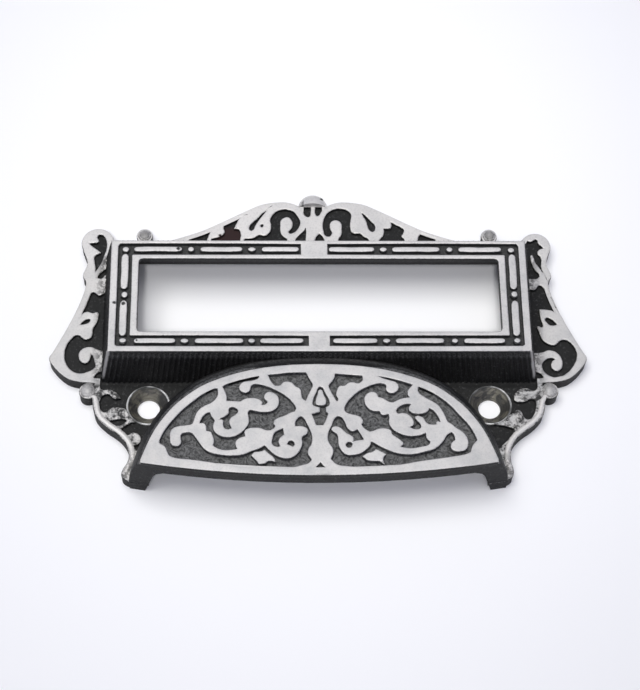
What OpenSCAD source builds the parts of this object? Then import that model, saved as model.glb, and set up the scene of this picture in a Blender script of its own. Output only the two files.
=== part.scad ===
// Cast-iron label frame pull for an apothecary or file drawer.
// One hollow casting: a scrolled backplate with two countersunk screw holes, a raised card
// frame that is open at the back, and a finger pull below it that is open at the back and
// at its lower edge. Millimetres. X runs to the right, Y up the drawer front, Z out of it.
// The origin is midway between the two screw holes, on the face that lies on the drawer.

/* [Screws] */
// Distance between the two screw holes
screw_spacing = 64; // [58:0.5:70]
// Diameter of the screw holes
bore_d = 4.2; // [3:0.1:5]
// Diameter of the countersinks where they meet the field
sink_d = 7.7; // [6:0.1:8.4]
// Length of plain bore left under each countersink
bore_land = 0.8; // [0.4:0.1:1.2]

/* [Backplate] */
// Thickness of the backplate at its rim
plate_t = 3; // [2.4:0.1:4]
// Depth of the sunk field inside the rim
field_depth = 0.7; // [0.3:0.1:1]
// Width of the rim that follows the outline
rim_w = 0.9; // [0.5:0.1:1.4]
// Sideways offset of the crest from the centre line
crest_x = -0.8; // [-1.5:0.1:1.5]
// How much lower the right knob stands than the left one
knob_drop = 0.7; // [0:0.1:1.5]
// How much less the right foot flares than the left one
foot_tuck = 1; // [0:0.1:1.5]
// Height of the small lobes' crowns above the rim
lobe_h = 0.8; // [0.4:0.1:1.1]

/* [Card frame] */
// Width of the frame's face
frame_w = 78.4; // [72:0.2:82]
// Height of the frame's face, up the drawer
frame_h = 23.7; // [18:0.1:26]
// Y of the lower edge of the face
frame_y = 6.5; // [6:0.1:8]
// Height of the face above the drawer front
frame_z = 11.7; // [8:0.1:16]
// Slope of the frame's walls
draft = 10; // [4:0.5:14]
// Slope of the upper wall's inner face, behind the card
back_draft = 14; // [11:0.5:15]
// Thickness of the frame's walls
wall_t = 1.3; // [1:0.1:2]
// Thickness of the face
face_t = 2.2; // [1.8:0.1:2.6]
// Width of the face at each side of the window
border_side = 5.2; // [5:0.1:8]
// Width of the face below the window
border_low = 4.1; // [3.8:0.1:6]
// Width of the face above the window
border_top = 3.9; // [3.6:0.1:6]
// Depth of the moulded channel round the face
channel_depth = 0.8; // [0.4:0.1:1]
// Width of the long bars that stand in the channel
bar_w = 0.95; // [0.6:0.05:1.2]
// Width of the two short bars at each side of the face
side_bar_w = 1.35; // [0.8:0.05:1.6]

/* [Finger pull] */
// Sideways offset of the pull from the centre line
pull_x = -0.4; // [-1:0.1:1]
// Half the width of the pull between its tips
pull_a = 32.1; // [28:0.1:33]
// Distance from the crown of the pull's arch to the frame's face
crown_gap = 3; // [2.6:0.1:5]
// Y of the tips
pull_y = -15.7; // [-18:0.1:-14]
// Height of the pull's flat top above the drawer front
pull_z = 12.3; // [9:0.1:18]
// How far the lower edge bows out between the tips
lip_bow = 3.1; // [1:0.1:4]
// Thickness of the lower edge that the fingers hold
lip_t = 3.5; // [2.5:0.1:4.5]
// How far the shoulder spreads at the crown of the arch
shoulder_mid = 5.5; // [4:0.1:6]
// How far the end walls spread at the tips
shoulder_end = 2.6; // [1:0.1:3]
// Thickness of the pull's walls
pull_wall = 2.2; // [1.8:0.1:3]
// Width of the rim round the pull's top
pull_rim = 1.5; // [1:0.1:2]
// Depth of the sunk field on the pull's top
pull_field = 1; // [0.4:0.1:1.4]

/* [Hidden] */
iron = [0.23, 0.23, 0.25];
over = 0.5;
field_z = plate_t - field_depth;
frame_top = frame_y + frame_h;
window_w = frame_w - 2 * border_side;
window_h = frame_h - border_low - border_top;
window_y = frame_y + border_low;
window_top = window_y + window_h;
pull_b = frame_y - crown_gap - pull_y;
bow_half = pull_a + shoulder_end + 0.9;
bow_r = (bow_half * bow_half + lip_bow * lip_bow) / (2 * lip_bow);
edge_side = 1.3;
edge_top = 0.65;
edge_low = 1.1;
lip_side = 1.2;
lip_low = 0.8;
top_block = [-3.2, 1.4];
low_block = [-1.9, 1.6];
// Bars of each row, measured outwards from x = 0: its left half, then its right half. They
// are drawn for corner beads at 36.5 and spread with them
top_row = [[[3.8, 10.8], [14.5, 22.4], [25.9, 34.9]], [[1.9, 10.5], [13.9, 22.9], [26.5, 34.6]]];
low_row = [[[3.1, 11.1], [14.2, 23.2], [26.8, 34.4]], [[2.4, 10.6], [14, 23], [26.7, 34.3]]];
finial_r = 2.7;
finial_y = frame_top + 12.9;
knob_r = 3.1;
bead_r = 1.6;
bump_r = 1.5;
flange_y = frame_top + 5.2;
ceiling_z = pull_z - lip_t;

// The outlines are drawn for a frame 78.4 wide whose top is at 30.2, screws at 32 and pull
// tips at 32.1, -15.7. These shifts carry them along when one of those sizes is changed
side_shift = max(frame_w / 2 - 39.2, screw_spacing / 2 - 32);
top_shift = frame_top - 30.2;
tip_shift = pull_a - 32.1;
foot_scale = pull_y / -15.7;

// One point of a Catmull-Rom curve between p1 and p2
function curve_at(p0, p1, p2, p3, t) =
    0.5 * (2 * p1 + (p2 - p0) * t + (2 * p0 - 5 * p1 + 4 * p2 - p3) * t * t
    + (3 * p1 - p0 - 3 * p2 + p3) * t * t * t);
// A smooth open curve through the points, with k steps in each span
function smooth(p, k = 4) = let (n = len(p) - 1) concat(
    [for (i = [0:n - 1], j = [0:k - 1])
        curve_at(p[max(i - 1, 0)], p[i], p[i + 1], p[min(i + 2, n)], j / k)],
    [p[n]]);

// Outline of the backplate
module both_sides() {
    children();
    mirror([1, 0]) children();
}

module crest_outline() {
    slope = [[2.2, 43.0], [4.4, 44.0], [6.6, 44.2], [9.8, 43.7], [12.2, 42.6],
        [15, 41.1], [18.1, 39.4], [21.6, 37.6], [25.3, 36.2], [29, 35.0]];
    translate([crest_x, top_shift])
        both_sides() polygon(concat([[-1, 32], [-1, 43]], smooth(slope, 3), [[30, 32]]));
}

// The ear keeps its foot and is drawn out upwards with the frame
function ear_point(p) = [p[0] + side_shift, p[1] + top_shift * max(p[1] - 4, 0) / 28.4];
module ear_outline(drop) {
    side = [[45.3, 33.2], [44.4, 30.4], [45.1, 28.2], [45.1, 27.2], [44.5, 25.9], [45, 23.2],
        [46.3, 19.4], [48.2, 15], [50.2, 10.9], [50.8, 9.8], [50.4, 8.6], [48.9, 6.7],
        [47, 5.2], [44.8, 4.6]];
    edge = concat([[38, 34], [43, 34]], smooth(side, 3), [[42, 4.4], [42, 1], [38, 1]]);
    polygon([for (p = edge) ear_point(p)]);
    translate([42.6 + side_shift, frame_top + 4.7 - drop])
        circle(r = knob_r - drop / 3, $fn = 64);
}

// Small round lobes that have no sunk field. The finial keeps one below its middle, where
// the crest's scrolls meet
module side_lobes() {
    both_sides() {
        translate([43.3 + side_shift, 2.7]) circle(r = bead_r, $fn = 48);
        translate([33.6 + side_shift, flange_y + 1.1]) circle(r = bump_r, $fn = 48);
    }
}
module finial() {
    translate([crest_x, finial_y]) circle(r = finial_r, $fn = 64);
}

// The wing leans from the ear's foot to the tip of the pull
function wing_point(p) = let (u = (6.5 - p[1]) / 22.5)
    [p[0] + side_shift * (1 - u) + tip_shift * u, p[1] < 0 ? p[1] * foot_scale : p[1]];
module wing_outline(tuck) {
    side = [[42.4, 1.6], [42.2, -0.6], [41.5, -2.7], [39.6, -4.7], [37.8, -6], [36.4, -7.4],
        [35.5, -9], [35.2, -10.6], [35.5 - tuck * 0.3, -12], [36.2 - tuck * 0.7, -13.2],
        [36.5 - tuck, -14.3], [36.1 - tuck, -15.1], [35 - tuck, -15.7], [33 - tuck, -16]];
    edge = concat([[42, 3], [42.4, 2.4]], smooth(side, 3), [[29, -16], [12, 4], [20, 6]]);
    polygon([for (p = edge) wing_point(p)]);
}

module plate_outline() {
    crest_outline();
    ear_outline(knob_drop);
    mirror([1, 0]) ear_outline(0);
    wing_outline(foot_tuck);
    mirror([1, 0]) wing_outline(0);
    side_lobes();
    finial();
    translate([-40 - side_shift, 0]) square([80 + 2 * side_shift, flange_y]);
}

// The crown of a lobe is a cap cut from a ball, h high on a base of radius r
module crown(x, y, r, h, from = -5) {
    ball = (r * r + h * h) / (2 * h);
    translate([x, y]) intersection() {
        translate([0, 0, plate_t + h - ball]) sphere(r = ball, $fn = 96);
        translate([-5, from, plate_t - 0.4]) cube(10);
    }
}
module crowns() {
    for (side = [-1, 1]) {
        crown(side * (43.3 + side_shift), 2.7, bead_r - 0.2, lobe_h);
        crown(side * (33.6 + side_shift), flange_y + 1.1, bump_r - 0.2, lobe_h * 0.9);
    }
    crown(crest_x, finial_y, finial_r - 0.25, lobe_h * 1.6, 0.1);
}

module backplate() {
    crowns();
    linear_extrude(field_z) plate_outline();
    linear_extrude(plate_t) {
        difference() {
            plate_outline();
            offset(delta = -rim_w) plate_outline();
        }
        side_lobes();
        intersection() {
            finial();
            translate([crest_x - 5, finial_y]) square(10);
        }
    }
}

// A rectangular block that narrows evenly from its base to its top
module tapered_box(w, h, y, z0, z1, slope_at) {
    function ring(z) = let (g = (slope_at - z) * tan(draft))
        [[-w / 2 - g, y - g, z], [w / 2 + g, y - g, z],
         [w / 2 + g, y + h + g, z], [-w / 2 - g, y + h + g, z]];
    polyhedron(concat(ring(z0), ring(z1)), [[0, 1, 2, 3], [7, 6, 5, 4],
        [4, 5, 1, 0], [5, 6, 2, 1], [6, 7, 3, 2], [7, 4, 0, 3]]);
}

// A bar that runs along X in the channel
module bar(from, to, w = bar_w) {
    translate([from, -w / 2]) square([to - from, w]);
}
module bead(at, d = bar_w * 1.5) {
    translate([at, 0]) circle(d = d, $fn = 32);
}

// The bars and beads of one row of the channel
module row(halves, spread) {
    for (i = [0, 1]) mirror([1 - i, 0]) for (k = [0:2]) {
        bar(halves[i][k][0] * spread, halves[i][k][1] * spread);
        if (k < 2) bead((halves[i][k][1] + halves[i][k + 1][0]) / 2 * spread, bar_w * 1.3);
    }
}

module channel_relief() {
    corner = (window_w / 2 + lip_side + frame_w / 2 - edge_side) / 2;
    y_low = (frame_y + edge_low + window_y - lip_low) / 2;
    y_top = (frame_top - edge_top + window_top + lip_low) / 2;
    y_mid = (y_low + y_top) / 2;
    translate([0, y_low]) row(low_row, corner / 36.5);
    translate([0, y_top]) row(top_row, corner / 36.5);
    both_sides() {
        for (y = [y_low, y_top]) translate([0, y]) bead(corner);
        translate([corner, y_mid]) {
            bead(0);
            for (s = [-1, 1]) rotate(90 * s) bar(1.4, (y_top - y_low) / 2 - 1.2, side_bar_w);
        }
    }
}

module card_frame() {
    channel_z = frame_z - channel_depth;
    difference() {
        tapered_box(frame_w, frame_h, frame_y, 0, frame_z, frame_z);
        translate([-frame_w / 2 + edge_side, frame_y + edge_low, channel_z])
            cube([frame_w - 2 * edge_side, frame_h - edge_low - edge_top, channel_depth + over]);
    }
    translate([0, 0, channel_z - over]) linear_extrude(channel_depth + over) {
        channel_relief();
        translate([-window_w / 2 - lip_side, window_y - lip_low])
            square([window_w + 2 * lip_side, window_h + 2 * lip_low]);
        translate([low_block[0], frame_y + edge_low / 2])
            square([low_block[1] - low_block[0], border_low - edge_low / 2 + 1]);
        translate([top_block[0], window_top - 1])
            square([top_block[1] - top_block[0], border_top - edge_top / 2 + 1]);
    }
}

module frame_hollow() {
    inner_w = frame_w - 2 * wall_t;
    inner_h = frame_h - 2 * wall_t;
    tapered_box(inner_w, inner_h, frame_y + wall_t, -over, frame_z - face_t, frame_z);
    translate([-window_w / 2, window_y, -over])
        cube([window_w, window_h, frame_z + 2 * over]);
    // The upper wall leans back more inside, so that a card slides in from behind
    crown_y = frame_top - wall_t;
    step_z = frame_z - face_t - 0.2;
    function lean(z) = [crown_y + (frame_z - z) * tan(back_draft), z];
    translate([-inner_w / 2 + 0.5, 0, 0]) rotate([90, 0, 90]) linear_extrude(inner_w - 1)
        polygon([[crown_y - 2, -over], lean(-over), lean(step_z), [crown_y - 2, step_z]]);
}

// Finger pull. The arch of its top runs from the right tip over the crown to the left tip
arch_shape = [[1, 0], [0.966, 0.154], [0.925, 0.308], [0.872, 0.446], [0.81, 0.574],
    [0.717, 0.708], [0.623, 0.805], [0.467, 0.903], [0.312, 0.962], [0.156, 0.992], [0, 1]];
arch_side = smooth([for (p = arch_shape) [p[0] * pull_a, pull_y + p[1] * pull_b]], 2);
arch = concat(arch_side,
    [for (i = [len(arch_side) - 2:-1:0]) [-arch_side[i][0], arch_side[i][1]]]);
last = len(arch) - 1;
function unit(v) = v / norm(v);
function outward(i) = let (d = unit(arch[min(i + 1, last)] - arch[max(i - 1, 0)]))
    i == 0 ? [1, 0] : i == last ? [-1, 0] : [d[1], -d[0]];
function spread_at(i) = shoulder_end
    + (shoulder_mid - shoulder_end) * (1 - pow(abs(arch[i][0]) / pull_a, 3.4));
function arch_ring(z, share, inset) = [for (i = [0:last])
    let (p = arch[i] + outward(i) * (spread_at(i) * share - inset)) [p[0], p[1], z]];

// Everything above the bowed lower edge of the pull, an arc that ends level with its tips
module above_bow() {
    translate([0, pull_y - lip_bow + bow_r]) circle(r = bow_r, $fn = 360);
}

// The open lower end of a ring, run out far past the bowed edge
function run_out(z, half) = [[-half, pull_y - 2 * pull_a, z], [half, pull_y - 2 * pull_a, z]];

// A closed solid through rings that all hold as many points, lowest first
module ring_solid(rings) {
    n = len(rings[0]);
    top = len(rings) - 1;
    polyhedron([for (r = rings) each r], concat(
        [[for (i = [0:n - 1]) i]],
        [for (k = [0:top - 1], i = [0:n - 1])
            [(k + 1) * n + i, (k + 1) * n + (i + 1) % n, k * n + (i + 1) % n, k * n + i]],
        [[for (i = [n - 1:-1:0]) top * n + i]]));
}

function shoulder_share(t) = pow(1 - pow(t, 1.6), 1 / 1.6);
module pull_body() {
    edge_z = pull_z - 0.7;
    levels = [0, 0.3, 0.5, 0.66, 0.8, 0.9, 0.97, 1];
    function ring(z, share) =
        concat(arch_ring(z, share, 0), run_out(z, pull_a + shoulder_end * share));
    intersection() {
        ring_solid(concat([ring(0, 1)],
            [for (t = levels) ring(plate_t + (edge_z - plate_t) * t, shoulder_share(t))],
            [ring(pull_z, 0)]));
        translate([0, 0, -over]) linear_extrude(pull_z + 2 * over) above_bow();
    }
}

module pull_hollow() {
    round = 2;
    levels = [[-over, 0.8, 0], [ceiling_z - round, 0.1, 0], [ceiling_z - round * 0.4, 0, 0.4],
        [ceiling_z, 0, 1.8]];
    ring_solid([for (l = levels) concat(arch_ring(l[0], l[1], pull_wall + l[2]),
        run_out(l[0], pull_a + shoulder_end * l[1] - pull_wall - l[2]))]);
}

module pull_field_cut() {
    translate([0, 0, pull_z - pull_field]) linear_extrude(pull_field + over)
        offset(delta = -pull_rim) intersection() {
            polygon(concat(arch, [[-pull_a, pull_y - 12], [pull_a, pull_y - 12]]));
            above_bow();
        }
}

module screw_hole() {
    cone_h = field_z - bore_land;
    translate([0, 0, -over]) cylinder(d = bore_d, h = plate_t + 2 * over, $fn = 64);
    translate([0, 0, bore_land]) cylinder(d1 = bore_d, d2 = sink_d, h = cone_h, $fn = 64);
    translate([0, 0, field_z]) cylinder(d = sink_d, h = plate_t, $fn = 64);
}

module pull_casting() {
    color(iron) difference() {
        union() {
            backplate();
            card_frame();
            translate([pull_x, 0, 0]) pull_body();
        }
        frame_hollow();
        translate([pull_x, 0, 0]) {
            pull_hollow();
            pull_field_cut();
        }
        for (s = [-1, 1]) translate([s * screw_spacing / 2, 0, 0]) screw_hole();
    }
}

pull_casting();
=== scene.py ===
import math

import bmesh
import bpy
from mathutils import Matrix, Vector
from mathutils.kdtree import KDTree


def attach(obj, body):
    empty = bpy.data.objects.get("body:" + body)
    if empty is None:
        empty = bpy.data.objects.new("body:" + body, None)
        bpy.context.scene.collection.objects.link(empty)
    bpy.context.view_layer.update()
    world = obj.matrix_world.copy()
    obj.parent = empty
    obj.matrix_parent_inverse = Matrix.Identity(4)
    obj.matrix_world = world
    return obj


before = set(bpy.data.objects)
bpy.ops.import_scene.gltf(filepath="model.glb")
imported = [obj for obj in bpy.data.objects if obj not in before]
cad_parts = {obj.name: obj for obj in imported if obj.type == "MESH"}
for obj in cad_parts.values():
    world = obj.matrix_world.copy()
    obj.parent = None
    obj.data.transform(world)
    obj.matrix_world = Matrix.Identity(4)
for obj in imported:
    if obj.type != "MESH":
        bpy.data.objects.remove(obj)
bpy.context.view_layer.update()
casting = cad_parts["pull_casting"]
mm = 0.001  # one millimetre in metres
print("frame loaded")

# Outside of the raised card frame, in millimetres, and the draft of its walls in degrees.
# Its finish, mouldings and reeding all follow these
cardFrame = {"side": 39.2, "low": 6.5, "top": 30.2, "face": 11.7, "draft": 10}
screwSpacing = 64.0


def linkPiece(name, mesh):
    piece = bpy.data.objects.new(name, mesh)
    bpy.context.scene.collection.objects.link(piece)
    return piece


# A finished piece of the casting, with its doubles merged and its faces turned outwards
def closeUp(bm, name, material):
    bmesh.ops.remove_doubles(bm, verts=bm.verts, dist=1e-6)
    bmesh.ops.recalc_face_normals(bm, faces=bm.faces)
    mesh = bpy.data.meshes.new(name)
    bm.to_mesh(mesh)
    bm.free()
    mesh.materials.append(material)
    piece = linkPiece(name, mesh)
    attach(piece, "root")
    return piece


# The longest loop in which a level plane cuts the casting, as points in order
def sectionLoop(z):
    bm = bmesh.new()
    bm.from_mesh(casting.data)
    bmesh.ops.remove_doubles(bm, verts=bm.verts, dist=1e-7)
    cut = bmesh.ops.bisect_plane(bm, geom=bm.verts[:] + bm.edges[:] + bm.faces[:],
                                 dist=1e-7, plane_co=(0, 0, z), plane_no=(0, 0, 1))
    # A dictionary keeps its order, so that each run starts the loop at the same point
    edges = dict.fromkeys(e for e in cut["geom_cut"] if isinstance(e, bmesh.types.BMEdge))
    loops = []
    while edges:
        start = next(iter(edges))
        del edges[start]
        loop = [start.verts[0], start.verts[1]]
        while True:
            onward = [e for e in loop[-1].link_edges if e in edges]
            if not onward:
                break
            del edges[onward[0]]
            loop.append(onward[0].other_vert(loop[-1]))
        loops.append([v.co.copy() for v in loop])
    bm.free()
    longest = max(loops, key=lambda pts: max(p.x for p in pts) - min(p.x for p in pts))
    if (longest[0] - longest[-1]).length < 1e-6:
        longest.pop()
    return longest


# The same run of points, at least a gap apart
def thinned(points, gap):
    kept = [points[0]]
    for p in points[1:]:
        if (p - kept[-1]).length > gap:
            kept.append(p)
    return kept


# Materials. Every pattern reads Object coordinates, in metres
def newMaterial(name):
    material = bpy.data.materials.new(name)
    material.use_nodes = True
    tree = material.node_tree
    tree.nodes.clear()
    shader = tree.nodes.new("ShaderNodeBsdfPrincipled")
    out = tree.nodes.new("ShaderNodeOutputMaterial")
    tree.links.new(shader.outputs[0], out.inputs[0])
    return material, tree, shader


# A shader node, with its inputs linked where a socket is given and set where a value is
def node(tree, kind, inputs=(), **settings):
    made = tree.nodes.new("ShaderNode" + kind)
    for key, value in settings.items():
        setattr(made, key, value)
    for key, value in dict(inputs).items():
        if isinstance(value, bpy.types.NodeSocket):
            tree.links.new(value, made.inputs[key])
        else:
            made.inputs[key].default_value = value
    return made


def calc(tree, operation, a, b=0.0, clamp=False):
    return node(tree, "Math", {0: a, 1: b}, operation=operation, use_clamp=clamp).outputs[0]


def ramp(tree, value, low, high, toLow=0.0, toHigh=1.0):
    made = node(tree, "MapRange", {0: value, 1: low, 2: high, 3: toLow, 4: toHigh})
    return made.outputs[0]


def mixed(tree, factor, a, b):
    made = node(tree, "Mix", data_type="RGBA")
    for socket, value in ((made.inputs[0], factor), (made.inputs[6], a), (made.inputs[7], b)):
        if isinstance(value, bpy.types.NodeSocket):
            tree.links.new(value, socket)
        else:
            socket.default_value = value
    return made.outputs[2]


def noise(tree, coords, scale, detail=3.0, rough=0.55, distortion=0.0):
    made = node(tree, "TexNoise", {"Vector": coords, "Scale": scale, "Detail": detail,
                                   "Roughness": rough, "Distortion": distortion})
    return made.outputs[0]


def grey(value, warm=0.0):
    return (value * (1 + warm), value, value * (1 - warm), 1)


# How far a point of the surface is from one place on the plan, in metres
def reachFrom(tree, x, y, placeX, placeY):
    across = calc(tree, "SUBTRACT", x, placeX * mm)
    along = calc(tree, "SUBTRACT", y, placeY * mm)
    return calc(tree, "SQRT", calc(tree, "ADD", calc(tree, "MULTIPLY", across, across),
                                   calc(tree, "MULTIPLY", along, along)))


# Cast skin: fine grain and broader patches of sand casting
def makeCastSkin():
    tree = bpy.data.node_groups.new("cast_skin", "ShaderNodeTree")
    face = tree.interface
    face.new_socket("Vector", in_out="INPUT", socket_type="NodeSocketVector")
    face.new_socket("Grain", in_out="OUTPUT", socket_type="NodeSocketFloat")
    face.new_socket("Patches", in_out="OUTPUT", socket_type="NodeSocketFloat")
    inside = tree.nodes.new("NodeGroupInput")
    out = tree.nodes.new("NodeGroupOutput")
    coords = inside.outputs["Vector"]
    grain = noise(tree, coords, 2600, 5, 0.65)
    patches = noise(tree, coords, 420, 4, 0.6)
    tree.links.new(grain, out.inputs["Grain"])
    tree.links.new(patches, out.inputs["Patches"])
    return tree


castSkin = makeCastSkin()
iron = {
    "silver": 0.53,        # polished flats
    "silverDark": 0.44,    # worn or smudged spots on them
    "silverPaintedLit": 0.66,  # painted reflection: brighter flats up at the crest and on the wing rims
    "recess": 0.011,       # blackened ground
    "channel": 0.034,      # ground of the channel round the frame's face
    "paintedGlintGrey": 0.055,      # painted glints: grains that look lit on the black
    "shoulder": 0.11,      # lighter grey band on the pull's shoulder
    "rust": 0.024,         # brown tinge left in one crest recess
    "hoodGround": 0.055,   # brushed ground of the pull's top
    "turned": 0.25,        # bare metal in the countersinks
    "polish": 0.50,        # roughness of the flats
    "black": 0.58,         # roughness of the blackened skin
    "burrDark": 0.10,      # dull stretches of the countersinks' burrs
    "burrBright": 0.66,    # bright stretches of them: bare metal, partly a painted highlight
    "arris": 0.8,          # wear down the lower corners of the frame's walls
    "specular": 0.2,       # gloss of the black
    "bumpDepth": 0.15,     # millimetres
    "bumpStrength": 0.5,
}

# Dark flaws in the polish: place on the plan and radius, in millimetres
flaws = [(-26.6, 28.4, 0.34), (-38.3, 16.7, 0.34), (-36.6, 16.5, 0.38), (1.0, 44.9, 0.36),
         (-18.9, 36.6, 0.3), (-33.9, 8.7, 0.2)]


# 1 between two values and 0 outside them, with soft ends
def band(tree, value, low, high, soft):
    rise = ramp(tree, value, low - soft, low + soft)
    fall = ramp(tree, value, high - soft, high + soft, 1.0, 0.0)
    return calc(tree, "MULTIPLY", rise, fall)


def makeCastIron():
    material, tree, shader = newMaterial("cast_iron")
    coords = node(tree, "TexCoord").outputs["Object"]
    skin = node(tree, "Group", node_tree=castSkin)
    tree.links.new(coords, skin.inputs["Vector"])
    grain = skin.outputs["Grain"]
    patches = skin.outputs["Patches"]
    place = node(tree, "SeparateXYZ", {0: coords})
    x, y, z = place.outputs
    aside = calc(tree, "ABSOLUTE", x)
    facing = node(tree, "SeparateXYZ", {0: node(tree, "NewGeometry").outputs["Normal"]})
    # Level faces at the height of the plate and of the frame are rubbed bright
    edge = calc(tree, "ADD", facing.outputs[2], ramp(tree, grain, 0.3, 0.7, -0.22, 0.22))
    flat = ramp(tree, edge, 0.45, 0.8)
    low = band(tree, z, 2.7 * mm, 3.4 * mm, 0.05 * mm)
    high = calc(tree, "MULTIPLY", ramp(tree, z, 11.45 * mm, 11.55 * mm),
                calc(tree, "MAXIMUM", ramp(tree, y, 5.5 * mm, 5.8 * mm, 1.0, 0.0),
                     ramp(tree, z, 11.705 * mm, 11.72 * mm)))
    level = calc(tree, "ADD", low, high, clamp=True)
    polished = calc(tree, "MULTIPLY", flat, level)
    # Domes of the small lobes, and the cap of the crest, are half rubbed
    outer = calc(tree, "MAXIMUM", ramp(tree, y, 30.8 * mm, 31 * mm),
                 ramp(tree, aside, 41.4 * mm, 41.6 * mm))
    crown = calc(tree, "MULTIPLY", ramp(tree, edge, 0.1, 0.9),
                 band(tree, z, 3.04 * mm, 4.6 * mm, 0.02 * mm))
    crown = calc(tree, "MULTIPLY", crown, outer)
    crown = calc(tree, "MULTIPLY", crown, ramp(tree, patches, 0.3, 0.6, 0.55, 0.9))
    crown = calc(tree, "MULTIPLY", crown, ramp(tree, y, 20 * mm, 30 * mm, 1.0, 0.6))
    cap = calc(tree, "MULTIPLY", ramp(tree, y, 43.1 * mm, 43.18 * mm),
               calc(tree, "MULTIPLY", ramp(tree, z, 2.95 * mm, 3.05 * mm),
                    ramp(tree, aside, 2.5 * mm, 2.7 * mm, 1.0, 0.0)))
    crown = calc(tree, "MAXIMUM", crown, cap)
    polished = calc(tree, "MAXIMUM", polished, crown)
    # Grain and flaws bite into the polish
    bite = ramp(tree, grain, 0.36, 0.46)
    polished = calc(tree, "MULTIPLY", polished, calc(tree, "MAXIMUM", bite, 0.9))
    ragged = calc(tree, "MULTIPLY", grain, 0.5 * mm)
    for flawX, flawY, radius in flaws:
        away = calc(tree, "ADD", reachFrom(tree, x, y, flawX, flawY), ragged)
        polished = calc(tree, "MULTIPLY", polished,
                        ramp(tree, away, (radius + 0.15) * mm, (radius + 0.35) * mm))
    # Wings, and the strips beside the frame, are only mottled
    lumps = calc(tree, "ADD", calc(tree, "MULTIPLY", noise(tree, coords, 620, 3, 0.5, 0.4), 0.6),
                 calc(tree, "MULTIPLY", noise(tree, coords, 2400, 3, 0.6), 0.4))
    wing = calc(tree, "MULTIPLY", ramp(tree, y, 3.6 * mm, 4.6 * mm, 1.0, 0.0),
                calc(tree, "MAXIMUM", ramp(tree, z, 3.05 * mm, 3.12 * mm, 1.0, 0.0),
                     ramp(tree, y, -13 * mm, -9 * mm, 0.7, 0.0)))
    gritty = calc(tree, "MULTIPLY", ramp(tree, aside, 41.2 * mm, 43.0 * mm, 0.85, 0.0),
                  band(tree, y, 4.5 * mm, 32 * mm, 1.0 * mm))
    wing = calc(tree, "MAXIMUM", wing, gritty)
    wing = calc(tree, "MULTIPLY", wing, ramp(tree, z, 3.5 * mm, 3.6 * mm, 1.0, 0.0))
    rubbed = calc(tree, "MAXIMUM", ramp(tree, lumps, 0.42, 0.56, 0.05, 1.0),
                  calc(tree, "SUBTRACT", 1.0, wing))
    polished = calc(tree, "MULTIPLY", polished, rubbed)
    # Bare turned metal in the countersinks, with a burr round each
    reach = reachFrom(tree, aside, y, screwSpacing / 2, 0)
    turned = ramp(tree, reach, 3.9 * mm, 4.0 * mm, 1.0, 0.0)
    burrs = calc(tree, "MULTIPLY", band(tree, reach, 3.72 * mm, 4.06 * mm, 0.03 * mm),
                 band(tree, z, 2.2 * mm, 2.6 * mm, 0.05 * mm))
    # Worn arris down each lower corner of the frame's walls
    wallSlope = calc(tree, "MULTIPLY", calc(tree, "SUBTRACT", cardFrame["face"] * mm, z),
                     math.tan(math.radians(cardFrame["draft"])))
    fromSide = calc(tree, "SUBTRACT", calc(tree, "SUBTRACT", aside, cardFrame["side"] * mm),
                    wallSlope)
    fromLow = calc(tree, "SUBTRACT", calc(tree, "SUBTRACT", cardFrame["low"] * mm, y),
                   wallSlope)
    corner = calc(tree, "MAXIMUM", calc(tree, "ABSOLUTE", fromSide),
                  calc(tree, "ABSOLUTE", fromLow))
    corner = calc(tree, "ADD", corner, calc(tree, "MULTIPLY", patches, 0.5 * mm))
    corner = calc(tree, "MULTIPLY", ramp(tree, corner, 0.45 * mm, 0.75 * mm, 1.0, 0.0),
                  ramp(tree, z, 3.2 * mm, 4.5 * mm))
    polished = calc(tree, "MAXIMUM", polished, calc(tree, "MULTIPLY", corner,
                                                     iron["arris"]))
    # Brushed ground of the pull's hood, which runs up the walls of its pockets
    hood = calc(tree, "MULTIPLY", band(tree, z, 11.0 * mm, 11.42 * mm, 0.04 * mm),
                ramp(tree, y, 3.2 * mm, 3.4 * mm, 1.0, 0.0))
    hood = calc(tree, "MULTIPLY", hood, flat)
    walls = node(tree, "Attribute", attribute_name="pocketWall").outputs["Fac"]
    hood = calc(tree, "MAXIMUM", hood, walls)
    strokes = noise(tree, coords, 620, 2, 0.5, 3.2)
    swirl = calc(tree, "ADD", calc(tree, "MULTIPLY", strokes, 0.6),
                 calc(tree, "MULTIPLY", noise(tree, coords, 2100, 3, 0.7, 0.5), 0.4))
    brushed = mixed(tree, ramp(tree, swirl, 0.38, 0.62), grey(iron["hoodGround"] * 0.45),
                    grey(iron["hoodGround"] * 2.8))
    # Blackened ground, with painted glints on some grains
    ground = mixed(tree, patches, grey(iron["recess"] * 0.6), grey(iron["recess"] * 1.6))
    paintedGlints = ramp(tree, noise(tree, coords, 1900, 4, 0.7), 0.56, 0.68)
    ground = mixed(tree, paintedGlints, ground, grey(iron["paintedGlintGrey"]))
    # Greyer black in the channel round the frame's face
    channel = calc(tree, "MULTIPLY", ramp(tree, z, 10.2 * mm, 10.5 * mm),
                   ramp(tree, y, 6 * mm, 6.5 * mm))
    ground = mixed(tree, channel, ground,
                   mixed(tree, ramp(tree, grain, 0.35, 0.65), grey(iron["channel"] * 0.6),
                         grey(iron["channel"] * 1.7)))
    # Lighter, grainy grey band where the pull's shoulder runs into the frame
    shoulder = calc(tree, "MULTIPLY", band(tree, z, 9.9 * mm, 10.9 * mm, 0.4 * mm),
                    ramp(tree, y, 6.2 * mm, 6.4 * mm, 1.0, 0.0))
    shoulder = calc(tree, "MULTIPLY", shoulder, ramp(tree, y, -4 * mm, 2 * mm))
    ground = mixed(tree, calc(tree, "MULTIPLY", shoulder, ramp(tree, grain, 0.4, 0.65)),
                   ground, grey(iron["shoulder"]))
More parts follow.
